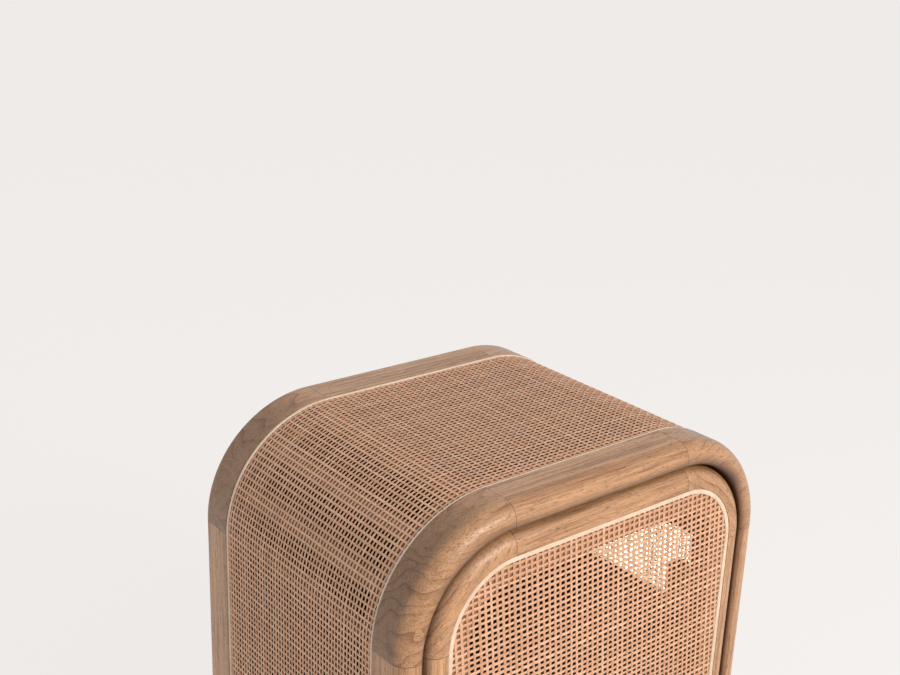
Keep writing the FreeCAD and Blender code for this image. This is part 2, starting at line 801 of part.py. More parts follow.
def make_glides():
    """Four tapered glides under the flats of the bottom rails, kept as one group."""
    discs = []
    front_middle = (frame_front + size("front_round") + front_edge) * 0.5
    rear_middle = (rear_edge + back - size("rear_round")) * 0.5
    for level, along in (("front", front_middle), ("rear", rear_middle)):
        for side, sign in (("right", 1.0), ("left", -1.0)):
            disc = doc.addObject("Part::Cone", f"glide_{level}_{side}")
            disc.setExpression("Radius1", (size("glide_radius") - size("glide_taper")).text)
            disc.setExpression("Radius2", size("glide_radius").text)
            disc.setExpression("Height", size("glide_height").text)
            place(disc, size("glide_half_spread") * sign, along, ZERO)
            discs.append(disc)
    group = doc.addObject("Part::Compound", "floor_glides")
    group.Label = "floor_glides"
    group.Links = discs


def build():
    make_frame("front", front_frame_outline())
    make_frame("rear", rear_frame_outline())
    make_frame("door", door_frame_outline())
    make_stretchers()
    make_side_stretchers()
    make_side_linings()
    make_shelf_bearers()
    make_corner_blocks()
    make_top_panel()
    make_boards()
    make_back_panel()
    make_cane_wrap()
    make_wrap_reed("front_wrap_reed", front_edge + size("groove_width") - size("reed_clearance"))
    make_wrap_reed("rear_wrap_reed", rear_edge - size("reed_clearance"))
    make_door_cane()
    make_door_reed()
    make_hinges()
    make_latch_housing()
    make_latch_plunger()
    make_latch_strike()
    make_glides()


def write_parts():
    """Check every object of the document, then write one file for each sub-part."""
    for item in doc.Objects:
        if "Invalid" in item.State or "Error" in item.State:
            raise RuntimeError(f"{item.Label} failed: {item.State}")
    kinds = ("PartDesign::Body", "Part::Cylinder", "Part::Compound")
    pieces = [item for item in doc.Objects if item.TypeId in kinds]
    for piece in pieces:
        if piece.Shape.isNull() or not piece.Shape.isValid():
            raise RuntimeError(f"{piece.Label} has no valid shape")
    os.makedirs("parts", exist_ok=True)
    for piece in pieces:
        piece.Shape.exportStep(f"parts/{piece.Label}.step")
    print(f"{len(pieces)} sub-parts written")


build()
doc.recompute()
write_parts()
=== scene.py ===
import json
import math

import bpy
import numpy as np
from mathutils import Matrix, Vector


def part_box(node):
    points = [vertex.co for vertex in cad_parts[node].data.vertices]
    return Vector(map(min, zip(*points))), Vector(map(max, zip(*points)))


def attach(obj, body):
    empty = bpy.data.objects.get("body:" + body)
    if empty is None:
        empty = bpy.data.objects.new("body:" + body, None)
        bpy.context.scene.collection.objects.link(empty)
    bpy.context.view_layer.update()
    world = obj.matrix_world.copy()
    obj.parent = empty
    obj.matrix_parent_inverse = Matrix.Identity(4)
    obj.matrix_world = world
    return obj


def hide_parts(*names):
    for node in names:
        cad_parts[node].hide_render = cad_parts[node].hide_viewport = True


# Looks of a storage side table: wooden frames, woven cane and an inset cane door

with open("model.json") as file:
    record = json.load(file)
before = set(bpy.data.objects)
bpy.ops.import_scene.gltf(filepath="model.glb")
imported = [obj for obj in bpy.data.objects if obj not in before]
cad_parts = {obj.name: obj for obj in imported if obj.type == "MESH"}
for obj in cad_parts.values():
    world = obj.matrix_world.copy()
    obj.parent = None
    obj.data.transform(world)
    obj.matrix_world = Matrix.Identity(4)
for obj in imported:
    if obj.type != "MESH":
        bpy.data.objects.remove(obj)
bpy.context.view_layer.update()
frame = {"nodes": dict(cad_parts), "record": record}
NODES = frame["nodes"]

# Places that come from the frame, in metres
ARC_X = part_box("front_top_rail")[1].x
LOW_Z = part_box("front_left_stile")[0].z
HIGH_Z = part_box("front_left_stile")[1].z
MIDDLE_Z = (LOW_Z + HIGH_Z) / 2
HALF_STILE = (HIGH_Z - LOW_Z) / 2
WRAP_LOW, WRAP_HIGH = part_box("cane_wrap")
DOOR_CANE_LOW, DOOR_CANE_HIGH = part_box("door_cane")
FRAME_INNER_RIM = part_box("front_right_stile")[0].x - ARC_X
DOOR_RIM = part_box("door_right_stile")[1].x - ARC_X
GAP_RIM = (FRAME_INNER_RIM + DOOR_RIM) / 2
DOOR_FACE_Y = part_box("door_right_stile")[0].y
FRAME_FACE_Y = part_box("front_right_stile")[0].y

# Cane sizes in metres
CANE_THICKNESS = 0.0018
STRAND_THICKNESS = 0.00034
WEAVE_RISE = 0.00019
WRAP_LONG_PITCH = 0.0050
WRAP_CROSS_PITCH = 0.0067
WRAP_LONG_WIDTH = 0.00212
WRAP_CROSS_WIDTH = 0.00232
DOOR_UPRIGHT_PITCH = 0.00713
DOOR_LEVEL_PITCH = 0.00614
DOOR_UPRIGHT_WIDTH = 0.0028
DOOR_LEVEL_WIDTH = 0.0029
# The door's upright strands lean to the left by this much in a metre of height
DOOR_LEAN = -0.096
# A strand lies flat over this share of a pitch on both sides of a crossing
FLAT_SHARE = 0.2
# Strands differ in width and place, as shares of their width, and wander in two slow waves
WIDTH_SHARES = (0.86, 1.14)
SHIFT_SHARE = 0.07
WANDER_REACH = 0.00011
WANDER_RADIANS_PER_METRE = (58, 23)
# Level door strands are laid out wider than the cane by this factor, and then cut to its outline
FAR_END_FACTOR = 1.2
REACH_STEPS = 1601
# Tones of the strands, from 0, dark, to 1, pale
WRAP_LONG_TONES = (0.5, 1.0)
WRAP_CROSS_TONES = (0.25, 1.0)
DOOR_UPRIGHT_TONES = (0.05, 0.85)
DOOR_LEVEL_TONES = (0.25, 1.0)
# Step along the texture from one strand to the next, so that no two look alike
TEXTURE_STEP = 0.37
WRAP_LONG_SEED = 11
WRAP_CROSS_SEED = 12
DOOR_UPRIGHT_SEED = 21
DOOR_LEVEL_SEED = 22
PATH_SLACK = 0.000001
WELD_DISTANCE = 0.000002
CANE_SMOOTH_ANGLE = math.radians(50)
WRAP_RADIUS = WRAP_HIGH.x - ARC_X - CANE_THICKNESS / 2
WRAP_LENGTH = 2 * math.pi * WRAP_RADIUS + 2 * (HIGH_Z - LOW_Z) + 2 * ARC_X
DOOR_CANE_RADIUS = DOOR_CANE_HIGH.x - ARC_X
DOOR_CANE_Y = (DOOR_CANE_LOW.y + DOOR_CANE_HIGH.y) / 2

# Screws: sizes in metres, and the widths of the rings on a head as shares of its radius
SCREW_SIDES = 16
SCREW_BORDER_SHARE = 0.12
SCREW_FACE_SHARE = 0.36
SCREW_RECESS_SHARE = 0.10
SCREW_SMOOTH_ANGLE = math.radians(30)
# A face whose normal rises more than this is the top of a head
TOP_FACE_RISE = 0.9
HINGE_LEAF = 0.001
HINGE_SCREW_RADIUS = 0.0027
HINGE_SCREW_PROUD = 0.00016
HINGE_SCREW_STEP = 0.017
# How far the middle and the outer screws of a hinge leaf lie from its rear edge
HINGE_MIDDLE_SETBACK = 0.0055
HINGE_OUTER_SETBACK = 0.0115
LATCH_SCREW_RADIUS = 0.0029
LATCH_SCREW_PROUD = 0.0008
LATCH_LUG_THICKNESS = 0.0024
LATCH_LUG_MIDDLE = 0.0045
BACK_SCREW_RADIUS = 0.0031
BACK_SCREW_PROUD = 0.0004
BACK_SCREW_INSET = 0.0045
# Places of the back panel's screws along each straight edge, from its middle to its end at 1
BACK_SCREW_PLACES = (-0.7, 0.0, 0.7)

# Camera of the photograph, for a picture of 900 by 675
CAMERA_PLACE = (-0.8224, -0.9329, 1.0722)
CAMERA_YAW = 39.30
CAMERA_PITCH = 19.44
CAMERA_ROLL = 2.11
FOCAL_PIXELS = 1292.0
PICTURE_WIDTH = 900.0
SENSOR_WIDTH = 36.0


# Modelling helpers

def deselect_all():
    if bpy.context.object and bpy.context.object.mode != "OBJECT":
        bpy.ops.object.mode_set(mode="OBJECT")
    bpy.ops.object.select_all(action="DESELECT")


def dress(piece, material):
    piece.data.materials.clear()
    piece.data.materials.append(material)


def stretch_of_path(along, start, length):
    """Points of the path that lie in one stretch, and how far they are into it."""
    into = along - start
    return (into >= -PATH_SLACK) & (into <= length + PATH_SLACK), into


def wrap_place(along, rise):
    """X and Z of points along the wrap, from its lower left end, at a height over its middle."""
    quarter = WRAP_RADIUS * math.pi / 2
    upright = HIGH_Z - LOW_Z
    level = 2 * ARC_X
    # Each stretch: its length, its centre's x and z, the angle at its start in degrees, and the way
    # it runs, or None where it turns
    stretches = (
        (quarter, -ARC_X, LOW_Z, 270, None),
        (upright, -ARC_X, LOW_Z, 180, (0, 1)),
        (quarter, -ARC_X, HIGH_Z, 180, None),
        (level, -ARC_X, HIGH_Z, 90, (1, 0)),
        (quarter, ARC_X, HIGH_Z, 90, None),
        (upright, ARC_X, HIGH_Z, 0, (0, -1)),
        (quarter, ARC_X, LOW_Z, 0, None),
    )
    x = np.zeros_like(along)
    z = np.zeros_like(along)
    start = 0.0
    for length, centre_x, centre_z, degrees, way in stretches:
        here, into = stretch_of_path(along, start, length)
        angle = np.full_like(along, math.radians(degrees))
        move_x, move_z = way or (0, 0)
        if way is None:
            angle = angle - into / WRAP_RADIUS
        reach = WRAP_RADIUS + rise
        x[here] = (centre_x + move_x * into + reach * np.cos(angle))[here]
        z[here] = (centre_z + move_z * into + reach * np.sin(angle))[here]
        start += length
    return x, z


def level_reach(heights):
    """Where level door strands end at both sides: the cane's outline is a rounded rectangle."""
    over = np.maximum(np.abs(heights - MIDDLE_Z) - HALF_STILE, 0.0)
    extra = np.sqrt(np.maximum(DOOR_CANE_RADIUS ** 2 - over ** 2, 0.0))
    return -ARC_X - extra, ARC_X + extra


def upright_reach(places):
    """Lower and upper ends of leaning door strands, given by their places at mid height."""
    heights = np.linspace(DOOR_CANE_LOW.z, DOOR_CANE_HIGH.z, REACH_STEPS)
    aside = np.abs(places[:, None] + (heights - MIDDLE_Z) * DOOR_LEAN)
    over = np.maximum(np.abs(heights - MIDDLE_Z) - HALF_STILE, 0.0)
    inside = np.maximum(aside - ARC_X, 0.0) ** 2 + over ** 2 <= DOOR_CANE_RADIUS ** 2
    low = np.where(inside, heights, np.inf).min(axis=1)
    high = np.where(inside, heights, -np.inf).max(axis=1)
    return low, high


def spread(first, last, pitch):
    """Evenly spaced places between two ends, about one pitch apart."""
    count = int(round((last - first) / pitch))
    step = (last - first) / count
    return first + step * (np.arange(count) + 0.5)


def halves(places):
    """Two halves of a row of strands, each with the number of its first strand."""
    middle = len(places) // 2
    return (0, places[:middle]), (middle, places[middle:])


def strand_family(name, strands, first, crossings, ends, width, tones, over, seed,
                  reach=None, slip=None):
    """One family of flat strands, woven over and under the other family at its crossings.
    First is the number of its first strand, and over is 0 or 1 for the strands that start on top.
    Reach gives the strands' ends, and slip how far each strand's crossings are moved along it.
    It returns the sheet and, for each of its points, the place along and across and the height,
    so that they can be laid round the case or on the door."""
    draw = np.random.default_rng(seed)
    count = len(strands)
    pitch = crossings[1] - crossings[0]
    along = np.concatenate([crossings - FLAT_SHARE * pitch, crossings + FLAT_SHARE * pitch, ends])
    along.sort()
    deselect_all()
    bpy.ops.mesh.primitive_grid_add(
        x_subdivisions=len(along) - 1, y_subdivisions=2 * count - 1, size=1.0)
    sheet = bpy.context.object
    sheet.name = name
    mesh = sheet.data
    places = np.zeros(len(mesh.vertices) * 3)
    mesh.vertices.foreach_get("co", places)
    places = places.reshape(-1, 3)
    row = np.rint((places[:, 0] + 0.5) * (len(along) - 1)).astype(int)
    column = np.rint((places[:, 1] + 0.5) * (2 * count - 1)).astype(int)
    strand = column // 2
    side = column % 2 - 0.5

    # Strands differ a little in width and place, and wander along their length
    widths = width * draw.uniform(*WIDTH_SHARES, count)
    shifts = draw.normal(0.0, SHIFT_SHARE, count) * width
    phases = draw.uniform(0, 2 * math.pi, (2, count))
    run = along[row]
    if slip is not None:
        run = run + slip[strand]
    fast, slow = WANDER_RADIANS_PER_METRE
    waves = np.sin(run * fast + phases[0][strand]) + np.sin(run * slow + phases[1][strand])
    wander = waves * WANDER_REACH
    across = strands[strand] + shifts[strand] + wander + side * widths[strand]

    crossing = (row - 1) // 2
    sign = np.where((crossing + strand + first) % 2 == over, 1.0, -1.0)
    rise = sign * WEAVE_RISE
    rise[(row == 0) | (row == len(along) - 1)] = 0.0
    if reach is not None:
        low, high = (end[strand] for end in reach(strands))
        clipped = np.clip(run, low, high)
        rise[clipped != run] = 0.0
        run = clipped

    remove_gaps(sheet, column)
    layer = mesh.uv_layers[0]
    layer.name = "Strand"
    corners = np.zeros(len(mesh.loops), dtype=np.int32)
    mesh.loops.foreach_get("vertex_index", corners)
    lines = np.stack([run + strand * TEXTURE_STEP, side], axis=1)
    layer.uv.foreach_set("vector", lines[corners].astype(np.float32).ravel())
    tone = mesh.attributes.new("tone", "FLOAT", "POINT")
    tone.data.foreach_set("value", draw.uniform(*tones, count)[strand].astype(np.float32))
    return sheet, run, across, rise


def remove_gaps(sheet, column):
    """Delete the columns of faces between the strands."""
    mesh = sheet.data
    corners = np.zeros(len(mesh.loops), dtype=np.int32)
    mesh.loops.foreach_get("vertex_index", corners)
    gap = column[corners].reshape(-1, 4).min(axis=1) % 2 == 1
    mesh.vertices.foreach_set("select", np.zeros(len(mesh.vertices), dtype=bool))
    mesh.edges.foreach_set("select", np.zeros(len(mesh.edges), dtype=bool))
    mesh.polygons.foreach_set("select", gap)
    bpy.context.tool_settings.mesh_select_mode = (False, False, True)
    bpy.ops.object.mode_set(mode="EDIT")
    bpy.ops.mesh.delete(type="FACE")
    bpy.ops.object.mode_set(mode="OBJECT")


def finish_strands(sheet, x, y, z, body, node):
    """Lay the strands in place, give them their thickness and put them on their body."""
    sheet.data.vertices.foreach_set("co", np.stack([x, y, z], axis=1).astype(np.float32).ravel())
    sheet.data.update()
    bpy.context.tool_settings.mesh_select_mode = (True, False, False)
    bpy.ops.object.mode_set(mode="EDIT")
    bpy.ops.mesh.select_all(action="SELECT")
    bpy.ops.mesh.remove_doubles(threshold=WELD_DISTANCE)
    bpy.ops.object.mode_set(mode="OBJECT")
    bpy.ops.object.modifier_add(type="SOLIDIFY")
    thicken = sheet.modifiers[-1]
    thicken.thickness = STRAND_THICKNESS
    thicken.offset = 0.0
    bpy.ops.object.modifier_apply(modifier=thicken.name)
    bpy.ops.object.shade_smooth_by_angle(angle=CANE_SMOOTH_ANGLE)
    dress(sheet, cane_material)
    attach(sheet, body)
    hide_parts(node)


def weave_wrap():
    """The case's cane: long strands run round it, and cross strands from front to rear."""
    long_places = spread(WRAP_LOW.y, WRAP_HIGH.y, WRAP_LONG_PITCH)
    cross_places = spread(0.0, WRAP_LENGTH, WRAP_CROSS_PITCH)
    path_ends = np.array([0.0, WRAP_LENGTH])
    depth_ends = np.array([WRAP_LOW.y, WRAP_HIGH.y])
    for part, (first, strands) in zip(("front", "rear"), halves(long_places)):
        sheet, along, across, rise = strand_family(
            f"cane_wrap_long_strands_{part}", strands, first, cross_places, path_ends,
            WRAP_LONG_WIDTH, WRAP_LONG_TONES, 0, WRAP_LONG_SEED + first)
        across = np.clip(across, depth_ends[0], depth_ends[1])
        x, z = wrap_place(along, rise)
        finish_strands(sheet, x, across, z, "case", "cane_wrap")
    for part, (first, strands) in zip(("left", "right"), halves(cross_places)):
        sheet, along, across, rise = strand_family(
            f"cane_wrap_cross_strands_{part}", strands, first, long_places, depth_ends,
            WRAP_CROSS_WIDTH, WRAP_CROSS_TONES, 1, WRAP_CROSS_SEED + first)
        across = np.clip(across, path_ends[0], path_ends[1])
        x, z = wrap_place(across, rise)
        finish_strands(sheet, x, along, z, "case", "cane_wrap")


def weave_door():
    """The door's cane: level strands, and upright ones that lean a little."""
    half_lean = abs(DOOR_LEAN) * HALF_STILE
    half_width = DOOR_CANE_HIGH.x + half_lean
    upright_places = spread(-half_width, half_width, DOOR_UPRIGHT_PITCH)
    level_places = spread(DOOR_CANE_LOW.z, DOOR_CANE_HIGH.z, DOOR_LEVEL_PITCH)
    height_ends = np.array([DOOR_CANE_LOW.z, DOOR_CANE_HIGH.z])
    far_ends = np.array([-half_width, half_width]) * FAR_END_FACTOR
    sheet, along, across, rise = strand_family(
        "door_cane_upright_strands", upright_places, 0, level_places, height_ends,
        DOOR_UPRIGHT_WIDTH, DOOR_UPRIGHT_TONES, 0, DOOR_UPRIGHT_SEED, upright_reach)
    across = across + (along - MIDDLE_Z) * DOOR_LEAN
    finish_strands(sheet, across, DOOR_CANE_Y - rise, along, "door", "door_cane")
    sheet, along, across, rise = strand_family(
        "door_cane_level_strands", level_places, 0, upright_places, far_ends,
        DOOR_LEVEL_WIDTH, DOOR_LEVEL_TONES, 1, DOOR_LEVEL_SEED, level_reach,
        (level_places - MIDDLE_Z) * DOOR_LEAN)
    finish_strands(sheet, along, DOOR_CANE_Y - rise, across, "door", "door_cane")


def make_screw(name, place, way, radius, proud, body, material):
    """A flat screw head with a drive recess, standing a little proud of its surface."""
    deselect_all()
    bpy.ops.mesh.primitive_cylinder_add(vertices=SCREW_SIDES, radius=radius, depth=2 * proud)
    screw = bpy.context.object
    screw.name = name
    bpy.context.tool_settings.mesh_select_mode = (False, False, True)
    bpy.ops.object.mode_set(mode="EDIT")
    bpy.ops.mesh.select_all(action="DESELECT")
    bpy.ops.object.mode_set(mode="OBJECT")
    for face in screw.data.polygons:
        face.select = face.normal.z > TOP_FACE_RISE
    bpy.ops.object.mode_set(mode="EDIT")
    bpy.ops.mesh.inset(thickness=radius * SCREW_BORDER_SHARE, depth=0.0)
    bpy.ops.mesh.inset(thickness=radius * SCREW_FACE_SHARE, depth=0.0)
    bpy.ops.mesh.inset(thickness=radius * SCREW_RECESS_SHARE, depth=-proud)
    bpy.ops.object.mode_set(mode="OBJECT")
    turn = Vector(way).to_track_quat("Z", "Y").to_matrix().to_4x4()
    turn.translation = Vector(place)
    screw.data.transform(turn)
    screw.data.update()
    bpy.ops.object.shade_smooth_by_angle(angle=SCREW_SMOOTH_ANGLE)
    dress(screw, material)
    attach(screw, body)


def make_hinge_screws(material):
    """Three screws in each leaf, flush in the narrow gap between frame and door."""
    case_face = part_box("front_left_stile")[1].x + HINGE_LEAF
    door_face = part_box("door_left_stile")[0].x - HINGE_LEAF
    for level in ("upper", "lower"):
        for body, face, way in (("case", case_face, (1, 0, 0)), ("door", door_face, (-1, 0, 0))):
            low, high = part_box(f"{level}_hinge_{body}_leaf")
            middle_z = (low.z + high.z) / 2
            for number, step in enumerate((-1, 0, 1)):
                setback = HINGE_MIDDLE_SETBACK if step == 0 else HINGE_OUTER_SETBACK
                place = (face, high.y - setback, middle_z + step * HINGE_SCREW_STEP)
                make_screw(f"{level}_hinge_{body}_screw_{number}", place, way, HINGE_SCREW_RADIUS,
                           HINGE_SCREW_PROUD, body, material)


def make_latch_screws(material):
    """One screw in each of the two lugs that hold the latch on the shelf."""
    low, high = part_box("latch_housing")
    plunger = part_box("latch_plunger")
    lug_top = low.z + LATCH_LUG_THICKNESS
    stem_x = (plunger[0].x + plunger[1].x) / 2
    case_rear = high.y - 2 * LATCH_LUG_MIDDLE
    places = {
        "rear": (stem_x, high.y - LATCH_LUG_MIDDLE, lug_top),
        "side": (high.x - LATCH_LUG_MIDDLE, (low.y + case_rear) / 2, lug_top),
    }
    for name, place in places.items():
        make_screw(f"latch_screw_{name}", place, (0, 0, 1), LATCH_SCREW_RADIUS, LATCH_SCREW_PROUD,
                   "case", material)


def make_back_screws(material):
    """Screws round the back panel, in the flats and in the middle of each rounded corner."""
    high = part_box("back_panel")[1]
    rim = high.x - ARC_X - BACK_SCREW_INSET
    slant = rim * math.sqrt(0.5)
    places = []
    for side in (-1, 1):
        for share in BACK_SCREW_PLACES:
            places.append((share * ARC_X, MIDDLE_Z + side * (HALF_STILE + rim)))
            places.append((side * (ARC_X + rim), MIDDLE_Z + share * HALF_STILE))
        places.append((side * (ARC_X + slant), HIGH_Z + slant))
        places.append((side * (ARC_X + slant), LOW_Z - slant))
    for number, (x, z) in enumerate(places):
        make_screw(f"back_screw_{number}", (x, high.y, z), (0, 1, 0), BACK_SCREW_RADIUS,
                   BACK_SCREW_PROUD, "case", material)


# Material helpers

def add_node(tree, kind, **settings):
    node = tree.nodes.new(kind)
    for name, value in settings.items():
        setattr(node, name, value)
    return node


def join(tree, source, target):
    tree.links.new(source, target)


def calculate(tree, operation, *terms):
    """A Math node whose terms are sockets or numbers."""
    node = add_node(tree, "ShaderNodeMath", operation=operation)
    for number, term in enumerate(terms):
        if isinstance(term, bpy.types.NodeSocket):
            join(tree, term, node.inputs[number])
        else:
            node.inputs[number].default_value = term
    return node.outputs[0]


def mix_colours(tree, share, first, second, blend="MIX"):
    node = add_node(tree, "ShaderNodeMix", data_type="RGBA", blend_type=blend)
    # Of a Mix node's many sockets, these are the factor and the two colours
    for number, value in ((0, share), (6, first), (7, second)):
        socket = node.inputs[number]
        if isinstance(value, bpy.types.NodeSocket):
            join(tree, value, socket)
        elif isinstance(value, tuple):
            socket.default_value = value + (1.0,)
        else:
            socket.default_value = value
    return node.outputs[2]


def scaled(tree, vector, scale, turn=(0, 0, 0), shift=(0, 0, 0)):
    node = add_node(tree, "ShaderNodeMapping")
    join(tree, vector, node.inputs["Vector"])
    node.inputs["Scale"].default_value = scale
    node.inputs["Rotation"].default_value = tuple(math.radians(angle) for angle in turn)
    node.inputs["Location"].default_value = shift
    return node.outputs[0]


def noise(tree, vector, scale, detail=2.0, roughness=0.5):
    node = add_node(tree, "ShaderNodeTexNoise")
    join(tree, vector, node.inputs["Vector"])
    node.inputs["Scale"].default_value = scale
    node.inputs["Detail"].default_value = detail
    node.inputs["Roughness"].default_value = roughness
    return node.outputs["Fac"]


def stretched_noise(tree, vector, scale, detail=2.0, roughness=0.5):
    """Noise with its own scale in each direction."""
    return noise(tree, scaled(tree, vector, scale), 1.0, detail, roughness)


def split_place(tree, vector):
    """X, Y and Z of a place."""
    node = add_node(tree, "ShaderNodeSeparateXYZ")
    join(tree, vector, node.inputs[0])
    return node.outputs["X"], node.outputs["Y"], node.outputs["Z"]


def between(tree, value, low, high, to_low=0.0, to_high=1.0):
    """A smooth step from one value to another."""
    node = add_node(tree, "ShaderNodeMapRange", interpolation_type="SMOOTHSTEP")
    join(tree, value, node.inputs["Value"])
    ends = {"From Min": low, "From Max": high, "To Min": to_low, "To Max": to_high}
    for name, number in ends.items():
        node.inputs[name].default_value = number
    return node.outputs[0]


def bump(tree, height, strength, distance):
    node = add_node(tree, "ShaderNodeBump")
    node.inputs["Strength"].default_value = strength
    node.inputs["Distance"].default_value = distance
    join(tree, height, node.inputs["Height"])
    return node.outputs[0]


def new_group(name, inputs, outputs):
    """A shader node group whose sockets are given by name and kind. An input that isn't set is 0."""
    tree = bpy.data.node_groups.new(name, "ShaderNodeTree")
    for way, sockets in (("INPUT", inputs), ("OUTPUT", outputs)):
        for label, kind in sockets.items():
            tree.interface.new_socket(label, in_out=way, socket_type=f"NodeSocket{kind}")
    given = tree.nodes.new("NodeGroupInput").outputs
    return tree, given, tree.nodes.new("NodeGroupOutput").inputs


def new_material(name):
    material = bpy.data.materials.new(name)
    material.use_nodes = True
    tree = material.node_tree
    return material, tree, tree.nodes["Principled BSDF"]


def object_place(tree):
    return add_node(tree, "ShaderNodeTexCoord").outputs["Object"]


def place_group(tree, group, **values):
    """A group in a tree, with sockets, colours or numbers for its inputs."""
    node = add_node(tree, "ShaderNodeGroup", node_tree=group)
    for name, value in values.items():
        socket = node.inputs[name.replace("_", " ").capitalize()]
        if isinstance(value, bpy.types.NodeSocket):
            join(tree, value, socket)
        else:
            socket.default_value = value + (1.0,) if isinstance(value, tuple) else value
    return node.outputs


# Shared effects

# Noise of the wood: how often it repeats in a metre, along the grain and across it
CLOUD_SCALE = (10, 26, 26)
STREAK_SCALE = (3, 170, 170)
THREAD_SCALE = (6, 420, 420)
FIBRE_SCALE = (24, 720, 720)
PORE_SCALE = (150, 1000, 1000)
BEND_SCALE = (6, 15, 15)
SPECKLE_SCALE = 850.0
# Steps in noise: where each begins and ends, and its values there, which are 0 and 1 if not given
PORE_STEP = (0.59, 0.69)
SPECKLE_STEP = (0.44, 0.66)
CLOUD_STEP = (0.30, 0.70, 0.0, 0.20)
STREAK_STEP = (0.47, 0.64, 0.0, 0.50)
THREAD_STEP = (0.50, 0.66, 0.0, 0.34)
# Clouds vary the growth lines, fibres the brightness, and streaks the roughness, to which pores add
LINE_STEP = (0.38, 0.62, 0.25, 1.0)
BRIGHTNESS_STEP = (0.25, 0.75, 0.80, 1.14)
ROUGHNESS_STEP = (0.3, 0.7, 0.31, 0.43)
PORE_ROUGHNESS = 0.2
# How many growth layers slow noise bends, and how sharply each layer darkens
BEND_LAYERS = 9.0
LAYER_SHARPNESS = 5.0
# How much growth lines and pores darken the wood, and what tints the pores
LINE_SHARE = 0.6
PORE_SHARE = 0.6
PORE_TINT = (0.50, 0.45, 0.42)
# Relief of fibres and of speckle, when a pore is 1 deep
FIBRE_HEIGHT = 0.4
SPECKLE_DEPTH = 2.2
# Seams, in metres, and where their edges fade, in widths
SEAM_WIDTH = 0.0003
SEAM_WAVE = 0.0006
SEAM_WAVE_SCALE = 160.0
SEAM_FADE = (0.6, 1.6)
NOISE_MIDDLE = 0.5
# Painted shade in the valley, in metres: its reach from the gap, its depth behind the door's face,
# and where it thins out to the share that is left inside
VALLEY_REACH = (0.003, 0.016)
VALLEY_DEPTH = 0.0095
VALLEY_THINNING = (0.012, 0.020)
VALLEY_INSIDE_SHARE = 0.35
# The way from a rail, 0, to a stile, 1: where the painted shade's strength changes, what it is along
# the rails and beside the stiles, and where its early start fades out
VALLEY_CHANGE = (0.0, 0.9)
VALLEY_SHARES = (0.75, 0.97)
EARLY_FADE = (0.72, 0.95)
# The ledge under the door's cane, in metres: half its band in depth, and how softly its rim ends
LEDGE_BAND = (0.0006, 0.0009)
LEDGE_SOFTNESS = 0.001
# Darkening of the corner blocks' outer sides, in metres: where it starts behind the frame's face, and
# its reach round a corner
OUTER_DARKENING_START = (0.005, 0.021)
OUTER_DARKENING_REACH = 0.07


def make_grain_group():
    """Long-grained wood with its grain along X and its growth layers across Z."""
    tree, given, out = new_group(
        "long_grain",
        {"Place": "Vector", "Pale": "Color", "Dark": "Color", "Layers": "Float", "Lines": "Float",
         "Streaks": "Float", "Pores": "Float", "Speckle": "Float"},
        {"Colour": "Color", "Roughness": "Float", "Height": "Float"})
    place = given["Place"]
    cloud = stretched_noise(tree, place, CLOUD_SCALE, detail=3.0)
    streak = stretched_noise(tree, place, STREAK_SCALE, detail=3.0, roughness=0.55)
    thread = stretched_noise(tree, place, THREAD_SCALE, roughness=0.55)
    fibre = stretched_noise(tree, place, FIBRE_SCALE, roughness=0.6)
    pore = stretched_noise(tree, place, PORE_SCALE, detail=1.0)
    pore_mark = between(tree, pore, *PORE_STEP)
    # Growth layers are bent by slow noise, and each darkens towards its one sharp side
    z = split_place(tree, place)[2]
    bend = stretched_noise(tree, place, BEND_SCALE)
    level = calculate(tree, "MULTIPLY_ADD", z, given["Layers"],
                      calculate(tree, "MULTIPLY", bend, BEND_LAYERS))
    layer = calculate(tree, "POWER", calculate(tree, "FRACT", level), LAYER_SHARPNESS)
    line = calculate(tree, "MULTIPLY", layer, between(tree, cloud, *LINE_STEP))
    line = calculate(tree, "MULTIPLY", line, given["Lines"])
    streaks = calculate(tree, "ADD", between(tree, streak, *STREAK_STEP),
                        between(tree, thread, *THREAD_STEP))
    share = calculate(tree, "MULTIPLY_ADD", streaks, given["Streaks"],
                      between(tree, cloud, *CLOUD_STEP))
    share = calculate(tree, "MULTIPLY_ADD", line, LINE_SHARE, share)
    share = calculate(tree, "MINIMUM", share, 1.0)
    colour = mix_colours(tree, share, given["Pale"], given["Dark"])
    fine = between(tree, fibre, *BRIGHTNESS_STEP)
    colour = mix_colours(tree, 1.0, colour, fine, "MULTIPLY")
    speckle = between(tree, noise(tree, place, SPECKLE_SCALE, detail=1.0), *SPECKLE_STEP)
    speckle = calculate(tree, "MULTIPLY", speckle, given["Speckle"])
    colour = mix_colours(tree, speckle, colour, given["Dark"])
    pore_share = calculate(tree, "MULTIPLY", given["Pores"], PORE_SHARE)
    pore_share = calculate(tree, "MULTIPLY", pore_mark, pore_share)
    dark_pore = mix_colours(tree, 1.0, given["Dark"], PORE_TINT, "MULTIPLY")
    colour = mix_colours(tree, pore_share, colour, dark_pore)
    # Streaks vary the sheen, and pores are duller
    rough = between(tree, streak, *ROUGHNESS_STEP)
    rough = calculate(tree, "MULTIPLY_ADD", pore_mark, PORE_ROUGHNESS, rough)
    height = calculate(tree, "SUBTRACT", calculate(tree, "MULTIPLY", fibre, FIBRE_HEIGHT),
                       calculate(tree, "MULTIPLY", pore_mark, given["Pores"]))
    height = calculate(tree, "SUBTRACT", height, calculate(tree, "MULTIPLY", speckle, SPECKLE_DEPTH))
    join(tree, colour, out["Colour"])
    join(tree, rough, out["Roughness"])
    join(tree, height, out["Height"])
    return tree


